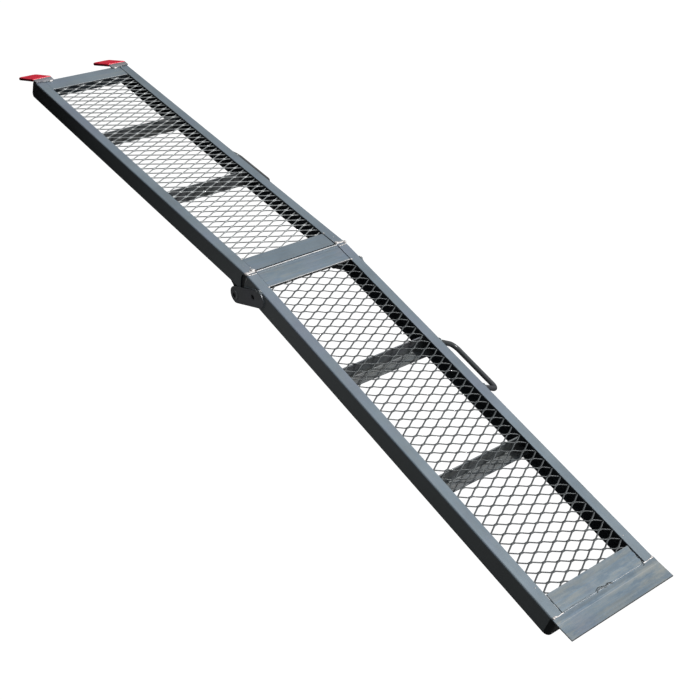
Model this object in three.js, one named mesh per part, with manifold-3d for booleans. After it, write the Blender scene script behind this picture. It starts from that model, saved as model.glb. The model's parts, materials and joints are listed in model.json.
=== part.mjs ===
// Folding loading ramp: two mesh-decked sections hinged in the middle, standing open as a shallow
// arch. Millimetres, +Z up, X along the ramp (+X towards the toe), Y across it, handles on the
// +Y side. It stands on level ground with the origin under the middle of its box.
// Every piece is drawn in the frame of its own section: x along the deck from the joint line
// towards the toe, y from the near (-Y) rail's outer face, z up from the top of the rails.
// The upper section lies at negative x. The two sections are then pitched into the arch.
import * as THREE from "three";
import { mergeVertices } from "three/addons/utils/BufferGeometryUtils.js";
import Module from "manifold-3d";

const wasm = await Module();
wasm.setup();

// ---- driving dimensions ----
const WIDTH = 305; // over the rail webs
const UPPER_LENGTH = 1117; // joint line to the tailgate end
const LOWER_LENGTH = 1092; // joint line to the end of the rail flanges
const GAP = 0.3; // between neighbouring pieces
const OVER = 1; // cutters run at least this far past what they cut
const LAP = 0.1; // joined solids run this far into each other

const ARCH_ANGLE = 7.69; // degrees between the two decks when open
const UPPER_PITCH = 3.777;
const LOWER_PITCH = ARCH_ANGLE - UPPER_PITCH;
const JOINT_HEIGHT = 129.09; // joint line above the ground
const JOINT_X = 42.5;
const DECK_Y = -28.64; // deck centreline

// ---- helpers: points and solids ----
const DEGREE = Math.PI / 180;
const cosDeg = (angle) => Math.cos(angle * DEGREE);
const sinDeg = (angle) => Math.sin(angle * DEGREE);

const arc = ([x, y], radius, from, to, segments) =>
  Array.from({ length: segments + 1 }, (_, i) => {
    const angle = from + ((to - from) * i) / segments;
    return [x + radius * cosDeg(angle), y + radius * sinDeg(angle)];
  });

// a three.js geometry as a solid that can be joined and cut, turned right side out if need be
function solid(geometry) {
  geometry.deleteAttribute("normal");
  geometry.deleteAttribute("uv");
  const merged = mergeVertices(geometry, 1e-4);
  const index = merged.index.array;
  const make = (reversed) => {
    const triVerts = [];
    for (let i = 0; i < index.length; i += 3) {
      const [a, b, c] = index.slice(i, i + 3);
      if (a !== b && b !== c && c !== a) triVerts.push(...(reversed ? [a, c, b] : [a, b, c]));
    }
    return new wasm.Manifold(
      new wasm.Mesh({
        numProp: 3,
        vertProperties: merged.attributes.position.array,
        triVerts: new Uint32Array(triVerts),
      }),
    );
  };
  const made = make(false);
  return made.volume() < 0 ? make(true) : made;
}

const vectors = (loop) => loop.map(([x, y]) => new THREE.Vector2(x, y));
const extrude = (loop, depth) =>
  new THREE.ExtrudeGeometry(new THREE.Shape(vectors(loop)), {
    depth,
    steps: 1,
    bevelEnabled: false,
  });

const X_AXIS = new THREE.Vector3(1, 0, 0);
const Y_AXIS = new THREE.Vector3(0, 1, 0);
const Z_AXIS = new THREE.Vector3(0, 0, 1);
const MINUS_Y_AXIS = new THREE.Vector3(0, -1, 0);

// (y, z) profile run along x
function along(loop, x0, x1) {
  const place = new THREE.Matrix4().makeBasis(Y_AXIS, Z_AXIS, X_AXIS).setPosition(x0, 0, 0);
  return solid(extrude(loop, x1 - x0).applyMatrix4(place));
}
// (x, z) profile run along y
function across(loop, y0, y1) {
  const place = new THREE.Matrix4().makeBasis(X_AXIS, Z_AXIS, MINUS_Y_AXIS).setPosition(0, y1, 0);
  return solid(extrude(loop, y1 - y0).applyMatrix4(place));
}
// (x, y) outline run along z
const upright = (loop, z0, z1) => solid(extrude(loop, z1 - z0).translate(0, 0, z0));

function box(x0, x1, y0, y1, z0, z1) {
  const block = new THREE.BoxGeometry(x1 - x0, y1 - y0, z1 - z0);
  return solid(block.translate((x0 + x1) / 2, (y0 + y1) / 2, (z0 + z1) / 2));
}
// round or many-sided bar along y
const pin = ([x, z], radius, y0, y1, sides = 32) =>
  solid(
    new THREE.CylinderGeometry(radius, radius, y1 - y0, sides).translate(x, (y0 + y1) / 2, z),
  );
const hexagon = (centre, flats, y0, y1) => pin(centre, flats / Math.sqrt(3), y0, y1, 6);
const join = (first, ...rest) => rest.reduce((whole, piece) => whole.add(piece), first);

// ---- hooks: flat tongues at the tailgate end, bent down, with dipped sleeves ----
const HOOK_WIDTH = 56;
const HOOK_THICK = 4.5;
const HOOK_LAP = 5; // tongue starts this far in on the end plate
const HOOK_FLAT = 16.3; // level part, from its start out to the bend
const HOOK_SLOPE_LENGTH = 113;
const HOOK_SLOPE = 21.5; // degrees down from the upper deck
const HOOK_RISE = 4.8; // top of the level part above the deck
const HOOK_CORNER = 11;
const HOOK_TIP_ALLOWANCE = 2; // the plan outline ends this far beyond the top edge of the tip
const HOOK_PLAN_Z = [-90, 20]; // height range of the plan cutter
const COAT = 1.5;
const COAT_GAP = 0.3;
const COAT_START = 3; // down the slope from the bend
const HOOK_X0 = -UPPER_LENGTH + HOOK_LAP;
const HOOK_BEND_X = HOOK_X0 - HOOK_FLAT;

// point some way down the slope from the bend, and above the tongue's top face
const onHook = (down, above) => [
  HOOK_BEND_X - down * cosDeg(HOOK_SLOPE) - above * sinDeg(HOOK_SLOPE),
  HOOK_RISE - down * sinDeg(HOOK_SLOPE) + above * cosDeg(HOOK_SLOPE),
];
// side view of a straight band on the slope
const hookBand = (from, to, bottom, top) => [
  onHook(from, top),
  onHook(to, top),
  onHook(to, bottom),
  onHook(from, bottom),
];
// block with the tongue's plan and rounded tip corners, grown all round
function hookPlan(grow) {
  const length = HOOK_SLOPE_LENGTH + grow;
  const tip = HOOK_BEND_X - length * cosDeg(HOOK_SLOPE) - HOOK_TIP_ALLOWANCE;
  const radius = HOOK_CORNER + grow;
  const outline = [
    [HOOK_X0 + OVER, -grow],
    [HOOK_X0 + OVER, HOOK_WIDTH + grow],
    ...arc([tip + radius, HOOK_WIDTH + grow - radius], radius, 90, 180, 6),
    ...arc([tip + radius, radius - grow], radius, 180, 270, 6),
  ];
  return upright(outline, ...HOOK_PLAN_Z);
}
function hookPlate() {
  const bendInset = HOOK_THICK * Math.tan((HOOK_SLOPE / 2) * DEGREE);
  const side = [
    [HOOK_X0, HOOK_RISE],
    onHook(0, 0),
    onHook(HOOK_SLOPE_LENGTH, 0),
    onHook(HOOK_SLOPE_LENGTH, -HOOK_THICK),
    [HOOK_BEND_X + bendInset, HOOK_RISE - HOOK_THICK],
    [HOOK_X0, HOOK_RISE - HOOK_THICK],
  ];
  return across(side, 0, HOOK_WIDTH).intersect(hookPlan(0));
}
// the sloping part of the tongue, grown all round
function grownSlope(grow, from) {
  const side = hookBand(from, HOOK_SLOPE_LENGTH + grow, -HOOK_THICK - grow, grow);
  return across(side, -grow, HOOK_WIDTH + grow).intersect(hookPlan(grow));
}
// closed at the tip and open towards the frame
const hookCoating = () =>
  grownSlope(COAT + COAT_GAP, COAT_START).subtract(grownSlope(COAT_GAP, -COAT_START));

// ---- hinge plates ----
const PIVOT = [-24.5, -81.5]; // x, z in the lower section's frame
const PIVOT_UPPER = [
  cosDeg(ARCH_ANGLE) * PIVOT[0] + sinDeg(ARCH_ANGLE) * PIVOT[1],
  -sinDeg(ARCH_ANGLE) * PIVOT[0] + cosDeg(ARCH_ANGLE) * PIVOT[1],
];
const PIVOT_DIA = 12;
const PIVOT_HOLE_RADIUS = PIVOT_DIA / 2 + 0.1;
const RAIL_SHEET = 2.5;
const UPPER_WEB_CUT = 23; // upper web is cut back this far at the joint

const ARM_ANGLE = 33; // degrees above the lower deck direction
const ARM_HALF_WIDTH = 22;
const ARM_REACH = 102; // pivot to the centre of the other rounded end
const ARM_HOLE = 79.5; // pivot to the open hole, along the arm
const ARM_HOLE_RISE = 3.5; // and up from its middle line
const ARM_THICK = 4;
const ARM_IN = -GAP; // inner face of the arm, just off the web
const ARM_OUT = ARM_IN - ARM_THICK;
const OPEN_HOLE_DIA = 14;

const LUG_THICK = 6;
const LUG_RADIUS = 19;
const LUG_IN = RAIL_SHEET + GAP; // the lug lies against the inside of the upper web
const LUG_OUT = LUG_IN + LUG_THICK;
const LUG_BACK = -80; // end away from the joint
const LUG_FRONT = -2; // end at the joint
const LUG_TOP = -14;
const NECK_BACK = -UPPER_WEB_CUT - 8; // the neck rises above the lug, next to the joint
const NECK_TOP = -3.6;
const LUG_CLEAR = 1; // room left round the lug by the crossmember legs

const onArm = (reach, rise) => [
  PIVOT[0] + reach * cosDeg(ARM_ANGLE) - rise * sinDeg(ARM_ANGLE),
  PIVOT[1] + reach * sinDeg(ARM_ANGLE) + rise * cosDeg(ARM_ANGLE),
];
// cutter for the open hole, which runs through the arm and the lower web
const openHole = (y0, y1) =>
  pin(onArm(ARM_HOLE, ARM_HOLE_RISE), OPEN_HOLE_DIA / 2, y0 - OVER, y1 + OVER, 24);
const pivotHole = (centre, y0, y1) => pin(centre, PIVOT_HOLE_RADIUS, y0 - OVER, y1 + OVER);

function hingeArm() {
  const outline = [
    ...arc(PIVOT, ARM_HALF_WIDTH, ARM_ANGLE + 90, ARM_ANGLE + 270, 18),
    ...arc(onArm(ARM_REACH, 0), ARM_HALF_WIDTH, ARM_ANGLE - 90, ARM_ANGLE + 90, 18),
  ];
  return across(outline, ARM_OUT, ARM_IN)
    .subtract(pivotHole(PIVOT, ARM_OUT, ARM_IN))
    .subtract(openHole(ARM_OUT, ARM_IN));
}

function hingeLug() {
  const [pivotX] = PIVOT_UPPER;
  // x, z
  const outline = [
    ...arc(PIVOT_UPPER, LUG_RADIUS, 180, 360, 18),
    [pivotX + LUG_RADIUS, -60],
    [-12, -46],
    [LUG_FRONT, -44],
    [LUG_FRONT, NECK_TOP],
    [NECK_BACK, NECK_TOP],
    [NECK_BACK, LUG_TOP],
    [LUG_BACK, LUG_TOP],
    [LUG_BACK, -48],
    [pivotX - LUG_RADIUS, -66],
  ];
  return across(outline, LUG_IN, LUG_OUT).subtract(pivotHole(PIVOT_UPPER, LUG_IN, LUG_OUT));
}

// ---- rails ----
const RAIL_DEPTH = 55;
const RAIL_BEND = 4; // outside bend radius
const TOP_FLANGE = 28;
const BOTTOM_FLANGE = 23;
const PAST_FLANGE = TOP_FLANGE + OVER; // y that clears both flanges
const CUT_RUN = 5; // how far the rail end cutters run past the rail

const JOINT_GAP = 0.6; // rail flanges stop this far from the joint line
const WEB_CUT_TOP = -4.5; // a strip of upper web is left above this
const WEB_CUT_START = -6; // x where the cut leaves the strip
const WEB_CUT_RADIUS = 15;
const LUG_NOTCH = 84; // upper bottom flange stops this far from the joint, for the hinge lug

// the upper webs run on under the hooks, with a leaning end and a rounded bottom corner
const WEB_END_TOP = [-1131, 1]; // x, z of a point on the leaning end's line
const WEB_END_LOW = -1140.5;
const WEB_END_CORNER = 14;
const HOOK_ROOM = [-2, 40]; // along the slope from the bend
const HOOK_ROOM_ABOVE = 5;

const WEB_EAR = 3.4; // lower web runs this far past the joint line, under the upper flange
const EAR_TOP = -5.6;
const LOWER_WEB_END = 1087.4;

function railProfile() {
  const inside = RAIL_BEND - RAIL_SHEET;
  const topBend = [RAIL_BEND, -RAIL_BEND];
  const bottomBend = [RAIL_BEND, -RAIL_DEPTH + RAIL_BEND];
  return [
    ...arc(topBend, RAIL_BEND, 180, 90, 4),
    [TOP_FLANGE, 0],
    [TOP_FLANGE, -RAIL_SHEET],
    ...arc(topBend, inside, 90, 180, 4),
    ...arc(bottomBend, inside, 180, 270, 4),
    [BOTTOM_FLANGE, -RAIL_DEPTH + RAIL_SHEET],
    [BOTTOM_FLANGE, -RAIL_DEPTH],
    ...arc(bottomBend, RAIL_BEND, 270, 180, 4),
  ];
}

function upperRail() {
  const below = -RAIL_DEPTH - CUT_RUN;
  const beyond = WEB_END_LOW - CUT_RUN;
  const cutRail = (loop) => across(loop, -OVER, PAST_FLANGE);
  // the web stops short of the joint and curves up to the flange
  const curveCentre = [-UPPER_WEB_CUT + WEB_CUT_RADIUS, WEB_CUT_TOP - WEB_CUT_RADIUS];
  const jointCut = [
    [-UPPER_WEB_CUT, below],
    [CUT_RUN, below],
    [CUT_RUN, WEB_CUT_TOP],
    [WEB_CUT_START, WEB_CUT_TOP],
    ...arc(curveCentre, WEB_CUT_RADIUS, 90, 180, 5).slice(1),
  ];
  const corner = [WEB_END_LOW + WEB_END_CORNER, -RAIL_DEPTH + WEB_END_CORNER];
  const endCut = [
    WEB_END_TOP,
    [beyond, WEB_END_TOP[1]],
    [beyond, below],
    [corner[0], below],
    ...arc(corner, WEB_END_CORNER, 270, 180, 6),
  ];
  const lugNotch = box(
    -LUG_NOTCH, CUT_RUN,
    RAIL_SHEET, PAST_FLANGE,
    -RAIL_DEPTH - OVER, -RAIL_DEPTH + RAIL_BEND,
  );
  // room for the hook, which lies on the end of the web
  const hookUnderside = HOOK_RISE - HOOK_THICK - GAP;
  const flatRoom = box(beyond, -UPPER_LENGTH, -OVER, PAST_FLANGE, hookUnderside, OVER);
  const coatUnderside = -HOOK_THICK - COAT - COAT_GAP - GAP;
  return along(railProfile(), WEB_END_LOW - OVER, -JOINT_GAP)
    .subtract(cutRail(jointCut))
    .subtract(lugNotch)
    .subtract(cutRail(endCut))
    .subtract(flatRoom)
    .subtract(cutRail(hookBand(...HOOK_ROOM, coatUnderside, HOOK_ROOM_ABOVE)));
}

function lowerRail() {
  const earEnd = -WEB_EAR - OVER;
  const below = -RAIL_DEPTH - OVER;
  const aboveEar = box(earEnd, JOINT_GAP, -OVER, PAST_FLANGE, EAR_TOP, OVER);
  const besideEar = box(earEnd, JOINT_GAP, RAIL_SHEET, PAST_FLANGE, below, EAR_TOP + OVER);
  // at the toe only the top flange runs the full length
  const toeCut = box(
    LOWER_WEB_END, LOWER_LENGTH + OVER,
    -OVER, PAST_FLANGE,
    below, -RAIL_SHEET - GAP,
  );
  return along(railProfile(), -WEB_EAR, LOWER_LENGTH)
    .subtract(aboveEar)
    .subtract(besideEar)
    .subtract(toeCut)
    .subtract(openHole(0, RAIL_SHEET));
}

// ---- pivot fasteners, stacked along y from the arm inwards ----
const SPACER_OD = 30;
const SPACER_THICK = 2.4;
const SPACER_Y = (ARM_IN + LUG_IN - SPACER_THICK) / 2; // midway between arm and lug
const WASHER_OD = 24;
const WASHER_THICK = 2;
const WASHER_Y = LUG_OUT + GAP;
const NUT_FLATS = 19;
const NUT_THICK = 10;
const NUT_Y = WASHER_Y + WASHER_THICK + GAP;
const NUT_COLLAR = 2.4; // height of the round collar
const NUT_COLLAR_INSET = 1.5; // collar radius under half the flats
const NUT_CLEAR = 0.15;
const BOLT_PROUD = 2.5; // end of the bolt past the nut
const BOLT_TIP = 1.2; // length of the thinner tip
const BOLT_TIP_STEP = 1; // tip radius under the shank's
const HEAD_HEIGHT = 3.6;
const HEAD_RADIUS = 12;
const HEAD_Y = ARM_OUT - GAP; // underside of the head
const SOCKET_FLATS = 12;
const SOCKET_FLOOR = 1.2; // left between the socket and the head's underside
// radius, y from the underside
const HEAD_PROFILE = [
  [0, -HEAD_HEIGHT],
  [HEAD_RADIUS - 3.4, -HEAD_HEIGHT],
  [HEAD_RADIUS - 1.2, -2.3],
  [HEAD_RADIUS, -1],
  [HEAD_RADIUS, 0],
  [0, 0],
];

const ring = (diameter, y, thick) =>
  pin(PIVOT_UPPER, diameter / 2, y, y + thick).subtract(pivotHole(PIVOT_UPPER, y, y + thick));

function pivotBolt() {
  const [x, z] = PIVOT_UPPER;
  const end = NUT_Y + NUT_THICK + BOLT_PROUD;
  const radius = PIVOT_DIA / 2;
  const shank = pin(PIVOT_UPPER, radius, HEAD_Y - LAP, end - BOLT_TIP);
  const tip = pin(PIVOT_UPPER, radius - BOLT_TIP_STEP, end - BOLT_TIP - LAP, end);
  const head = solid(new THREE.LatheGeometry(vectors(HEAD_PROFILE), 32).translate(x, HEAD_Y, z));
  const socketStart = HEAD_Y - HEAD_HEIGHT - OVER;
  const socket = hexagon(PIVOT_UPPER, SOCKET_FLATS, socketStart, HEAD_Y - SOCKET_FLOOR);
  return join(shank, tip, head).subtract(socket);
}
function pivotNut() {
  const end = NUT_Y + NUT_THICK;
  const collarStart = end - NUT_COLLAR;
  const body = hexagon(PIVOT_UPPER, NUT_FLATS, NUT_Y, collarStart);
  const collar = pin(PIVOT_UPPER, NUT_FLATS / 2 - NUT_COLLAR_INSET, collarStart - LAP, end);
  const bore = pin(PIVOT_UPPER, PIVOT_DIA / 2 + NUT_CLEAR, NUT_Y - OVER, end + OVER);
  return join(body, collar).subtract(bore);
}

// ---- crossmembers ----
const CROSS_SHEET = 2.5;
const PLATE_Y0 = TOP_FLANGE + GAP; // plates fit between the top flanges
const PLATE_Y1 = WIDTH - PLATE_Y0;
const WEB_CLEAR = 1.5; // besides the gap
const CROSS_Y0 = RAIL_SHEET + GAP + WEB_CLEAR; // legs and crossbars reach to the webs
const CROSS_Y1 = WIDTH - CROSS_Y0;

const END_PLATE = 57; // width of the tailgate-end plate
const UPPER_JOINT_PLATE = 63; // how far the joint plates reach from the joint line
const LOWER_JOINT_PLATE = 56;
const UPPER_PLATE_END = -10; // leaves a slot before the ridge
const TOE_CROSS_START = 1043;
const TOE_CROSS_END = LOWER_LENGTH - 0.4;

const LEG_BOTTOM = -32;
const END_LEG_BOTTOM = -RAIL_DEPTH + 6;
const SHORT_LEG_BOTTOM = -24;
const LEG_INSET = 12; // of legs from the ends of plate or rail
const END_LEG_INSET = 14;
const LOWER_JOINT_LEG = 4.5;

const RIDGE_HEIGHT = 3; // raised strip along the joint on the lower section
const RIDGE_WIDTH = 5;
const RIDGE_X = -4.5; // where the ridge starts
const RIDGE_LAP = 1; // the plate starts this far inside the ridge

// open seams at the ends of the plates
const NEAR_SEAM = 1.9;
const FAR_SEAM = 2;
const WIDE_FAR_SEAM = 3;

// Top plate between the flanges; legs [x, bottom z] run on under the flanges to the webs.
function crossmember({ x0, x1, legs, nearSeam = 0, farSeam }) {
  const y0 = PLATE_Y0 + nearSeam;
  const y1 = PLATE_Y1 - farSeam;
  return join(
    box(x0, x1, y0, y1, -CROSS_SHEET, 0),
    ...legs.flatMap(([x, bottom]) => [
      box(x, x + CROSS_SHEET, y0, y1, bottom, 0),
      box(x, x + CROSS_SHEET, CROSS_Y0, CROSS_Y1, bottom, -RAIL_SHEET - GAP),
    ]),
  );
}
const upperEndCrossmember = () =>
  crossmember({
    x0: -UPPER_LENGTH,
    x1: -UPPER_LENGTH + END_PLATE,
    legs: [
      [-UPPER_LENGTH, END_LEG_BOTTOM],
      [-UPPER_LENGTH + END_PLATE - END_LEG_INSET, LEG_BOTTOM],
    ],
    farSeam: FAR_SEAM,
  });
// keeps the crossmember legs clear of the hinge lugs
function lugRoom() {
  const side = LUG_OUT + LUG_CLEAR;
  const sides = [
    [-OVER, side],
    [WIDTH - side, WIDTH + OVER],
  ];
  return join(
    ...sides.flatMap(([y0, y1]) => [
      box(LUG_BACK, 0, y0, y1, -RAIL_DEPTH, LUG_TOP + LUG_CLEAR),
      box(NECK_BACK, 0, y0, y1, -RAIL_DEPTH, NECK_TOP + LUG_CLEAR),
    ]),
  );
}
const upperJointCrossmember = () =>
  crossmember({
    x0: -UPPER_JOINT_PLATE,
    x1: UPPER_PLATE_END,
    legs: [
      [-UPPER_JOINT_PLATE + LEG_INSET, LEG_BOTTOM],
      [UPPER_PLATE_END - CROSS_SHEET, SHORT_LEG_BOTTOM],
    ],
    farSeam: WIDE_FAR_SEAM,
  }).subtract(lugRoom());
function lowerJointCrossmember() {
  const radius = RIDGE_WIDTH / 2;
  const ridge = [
    [RIDGE_X, -CROSS_SHEET],
    [RIDGE_X + RIDGE_WIDTH, -CROSS_SHEET],
    ...arc([RIDGE_X + radius, RIDGE_HEIGHT - radius], radius, 0, 180, 8),
  ];
  const plate = crossmember({
    x0: RIDGE_X + RIDGE_LAP,
    x1: LOWER_JOINT_PLATE,
    legs: [[LOWER_JOINT_LEG, LEG_BOTTOM]],
    farSeam: FAR_SEAM,
  });
  return join(plate, across(ridge, PLATE_Y0, PLATE_Y1 - FAR_SEAM));
}
const lowerEndCrossmember = () =>
  crossmember({
    x0: TOE_CROSS_START,
    x1: TOE_CROSS_END,
    legs: [
      [TOE_CROSS_START + LEG_INSET, LEG_BOTTOM],
      [LOWER_LENGTH - LEG_INSET, LEG_BOTTOM],
    ],
    nearSeam: NEAR_SEAM,
    farSeam: WIDE_FAR_SEAM,
  });

// ---- toe ----
const TOE_START = 1092.4;
const TOE_BEND_X = 1107.5;
const TOE_END = 1148;
const TOE_THICK = 3;
const TOE_LIFT = 3.913; // degrees, the lip is flatter than the deck and lies level
const SKIRT_X = 1100; // outer face
const SKIRT_RADIUS = 12;
const SKIRT_SHEET = 3;
const SKIRT_BOTTOM = -52;

// upright sheet round the end of the lower section
function lowerEndSkirt() {
  const start = LOWER_WEB_END + GAP;
  const inside = SKIRT_RADIUS - SKIRT_SHEET;
  const nearBend = [SKIRT_X - SKIRT_RADIUS, SKIRT_RADIUS];
  const farBend = [SKIRT_X - SKIRT_RADIUS, WIDTH - SKIRT_RADIUS];
  const plan = [
    [start, 0],
    ...arc(nearBend, SKIRT_RADIUS, 270, 360, 6),
    ...arc(farBend, SKIRT_RADIUS, 0, 90, 6),
    [start, WIDTH],
    [start, WIDTH - SKIRT_SHEET],
    ...arc(farBend, inside, 90, 0, 6),
    ...arc(nearBend, inside, 360, 270, 6),
    [start, SKIRT_SHEET],
  ];
  return upright(plan, SKIRT_BOTTOM, -TOE_THICK - GAP);
}
function toePlate() {
  const rise = (TOE_END - TOE_BEND_X) * Math.tan(TOE_LIFT * DEGREE);
  const side = [
    [TOE_START, 0],
    [TOE_START, -TOE_THICK],
    [TOE_BEND_X, -TOE_THICK],
    [TOE_END + TOE_THICK * sinDeg(TOE_LIFT), rise - TOE_THICK * cosDeg(TOE_LIFT)],
    [TOE_END, rise],
    [TOE_BEND_X, 0],
  ];
  return across(side, 0, WIDTH);
}

// ---- expanded-metal deck panels ----
const MESH_TOP = -2.8;
const MESH_THICK = 3;
const MESH_BOTTOM = MESH_TOP - MESH_THICK;
const MESH_SHORT = 27; // diamond pitch along the ramp
const MESH_LONG = 56.2; // diamond pitch across the ramp
const STRAND = 3;
const MESH_MARGIN = 9; // hidden under the crossmember plates
const MESH_Y0 = 17;
const MESH_EDGE = 2.2; // solid border
const MESH_MIN_HOLE = 0.2; // cut holes under this share of a whole one are left closed
const MESH_STEPS = [120, 12]; // half pitches tried each way from the node, along and across
// x, y of one strand crossing, which fixes the pattern
const UPPER_NODE = [-231.4, 148.4];
const LOWER_NODE = [198.9, 141];

// the part of a convex outline where sign * coordinate <= limit
function clip(loop, axis, sign, limit) {
  const kept = [];
  loop.forEach((point, i) => {
    const next = loop[(i + 1) % loop.length];
    const room = limit - sign * point[axis];
    const nextRoom = limit - sign * next[axis];
    if (room >= 0) kept.push(point);
    if (room * nextRoom < 0) {
      const share = room / (room - nextRoom);
      kept.push(point.map((value, k) => value + (next[k] - value) * share));
    }
  });
  return kept;
}
const area = (loop) => Math.abs(THREE.ShapeUtils.area(vectors(loop)));

function meshPanel(x0, x1, [nodeX, nodeY]) {
  const y0 = MESH_Y0;
  const y1 = WIDTH - MESH_Y0;
  const halfX = MESH_SHORT / 2;
  const halfY = MESH_LONG / 2;
  // the hole is the diamond shrunk by half a strand on every side
  const inradius = (halfX * halfY) / Math.hypot(halfX, halfY);
  const shrink = (inradius - STRAND / 2) / inradius;
  const holeX = halfX * shrink;
  const holeY = halfY * shrink;
  const limits = [
    [0, 1, x1 - MESH_EDGE],
    [0, -1, -(x0 + MESH_EDGE)],
    [1, 1, y1 - MESH_EDGE],
    [1, -1, -(y0 + MESH_EDGE)],
  ];
  const holes = [];
  const [stepsX, stepsY] = MESH_STEPS;
  for (let i = -stepsX; i <= stepsX; i++)
    for (let j = -stepsY; j <= stepsY; j++) {
      if ((i + j) % 2 === 0) continue;
      const x = nodeX + i * halfX;
      const y = nodeY + j * halfY;
      if (x < x0 - halfX || x > x1 + halfX || y < y0 - halfY || y > y1 + halfY) continue;
      const diamond = [
        [x - holeX, y],
        [x, y - holeY],
        [x + holeX, y],
        [x, y + holeY],
      ];
      const hole = limits.reduce((loop, limit) => clip(loop, ...limit), diamond);
      if (hole.length < 3 || area(hole) < MESH_MIN_HOLE * 2 * holeX * holeY) continue;
      holes.push(upright(hole, MESH_BOTTOM - OVER, MESH_TOP + OVER));
    }
  return box(x0, x1, y0, y1, MESH_BOTTOM, MESH_TOP).subtract(join(...holes));
}

// ---- crossbars: angle iron just above the bottom flanges, upright leg under the mesh ----
const UPPER_BAR_X = { outer: -773, inner: -423 }; // outer face of the upright leg
const LOWER_BAR_X = { inner: 350, outer: 700 };
const BAR_SHEET = 3;
const BAR_FLANGE = 30;
const BAR_FILLET = 2;
const FILLET_MIDDLE = 0.3 * BAR_FILLET; // middle of the fillet, off both faces

// the flange points along x by the sign of side
function crossbar(x, side) {
  const bottom = -RAIL_DEPTH + RAIL_SHEET + GAP;
  const profile = [
    [0, MESH_BOTTOM - GAP],
    [0, bottom],
    [BAR_FLANGE, bottom],
    [BAR_FLANGE, bottom + BAR_SHEET],
    [BAR_SHEET + BAR_FILLET, bottom + BAR_SHEET],
    [BAR_SHEET + FILLET_MIDDLE, bottom + BAR_SHEET + FILLET_MIDDLE],
    [BAR_SHEET, bottom + BAR_SHEET + BAR_FILLET],
    [BAR_SHEET, MESH_BOTTOM - GAP],
  ].map(([out, z]) => [x + side * out, z]);
  return across(profile, CROSS_Y0, CROSS_Y1);
}

// ---- handles: round bar bent into a U, legs sloping out and down from the far web ----
const HANDLE_DIA = 12.7;
const HANDLE_LEGS = 164; // between leg centrelines
const HANDLE_REACH = 69; // along the sloping legs
const HANDLE_DROOP = 31.5; // degrees
const HANDLE_BEND = 20; // centreline radius
const HANDLE_BURY = 6; // legs start this far inside the web face, then are cut flat
const HANDLE_CUT = 20; // size of the cutter around the legs
// middle x, z where the legs meet the web
const UPPER_HANDLE = [-500, -25];
const LOWER_HANDLE = [462.5, -11];

// centreline given station by station, so that the straight legs take one step each
class BarLine extends THREE.Curve {
  constructor(stations) {
    super();
    this.stations = stations;
  }
  station(share) {
    return this.stations[Math.round(share * (this.stations.length - 1))];
  }
  getPointAt(share, target = new THREE.Vector3()) {
    return target.copy(this.station(share).point);
  }
  getTangentAt(share, target = new THREE.Vector3()) {
    return target.copy(this.station(share).tangent);
  }
}
function handle([middleX, z0]) {
  const x0 = middleX - HANDLE_LEGS / 2;
  const x1 = middleX + HANDLE_LEGS / 2;
  const y0 = WIDTH + GAP;
  const outward = cosDeg(HANDLE_DROOP);
  const down = sinDeg(HANDLE_DROOP);
  const stations = [];
  // x along the rail, reach out along the sloping leg, heading in degrees from +x
  const addStation = (x, reach, heading) => {
    const climb = sinDeg(heading);
    stations.push({
      point: new THREE.Vector3(x, y0 + reach * outward, z0 - reach * down),
      tangent: new THREE.Vector3(cosDeg(heading), climb * outward, -climb * down),
    });
  };
  const addBend = (x, from, to) =>
    arc([x, HANDLE_REACH - HANDLE_BEND], HANDLE_BEND, from, to, 6).forEach(([px, reach], i) =>
      addStation(px, reach, from + ((to - from) * i) / 6 - 90),
    );
  addStation(x0, -HANDLE_BURY, 90);
  addBend(x0 + HANDLE_BEND, 180, 90);
  addBend(x1 - HANDLE_BEND, 90, 0);
  addStation(x1, -HANDLE_BURY, -90);
  const section = new THREE.Shape(vectors(arc([0, 0], HANDLE_DIA / 2, 0, 330, 11)));
  const bar = new THREE.ExtrudeGeometry(section, {
    steps: stations.length - 1,
    extrudePath: new BarLine(stations),
  });
  const inWeb = box(
    x0 - HANDLE_CUT, x1 + HANDLE_CUT,
    y0 - HANDLE_CUT, y0,
    z0 - HANDLE_CUT, z0 + HANDLE_CUT,
  );
  return solid(bar).subtract(inWeb);
}

// ---- materials ----
const finish = (settings) => new THREE.MeshStandardMaterial(settings);
const paint = finish({ name: "grey_paint", color: 0x727d86, metalness: 0.35, roughness: 0.45 });
const darkPaint = finish({
  name: "dark_grey_paint",
  color: 0x4a5052,
  metalness: 0.35,
  roughness: 0.5,
});
const meshPaint = finish({ name: "mesh_paint", color: 0x686e70, metalness: 0.3, roughness: 0.55 });
const red = finish({ name: "red_vinyl", color: 0xd7283c, metalness: 0, roughness: 0.4 });
const zinc = finish({ name: "zinc_plate", color: 0x9a9c9c, metalness: 0.8, roughness: 0.4 });

// ---- assembly ----
const group = new THREE.Group();
group.name = "folding_loading_ramp";

function section(pitch) {
  const part = new THREE.Group();
  part.rotation.y = pitch * DEGREE;
  part.position.set(JOINT_X, DECK_Y, JOINT_HEIGHT);
  group.add(part);
  return part;
}
const upper = section(-UPPER_PITCH);
const lower = section(LOWER_PITCH);

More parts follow.
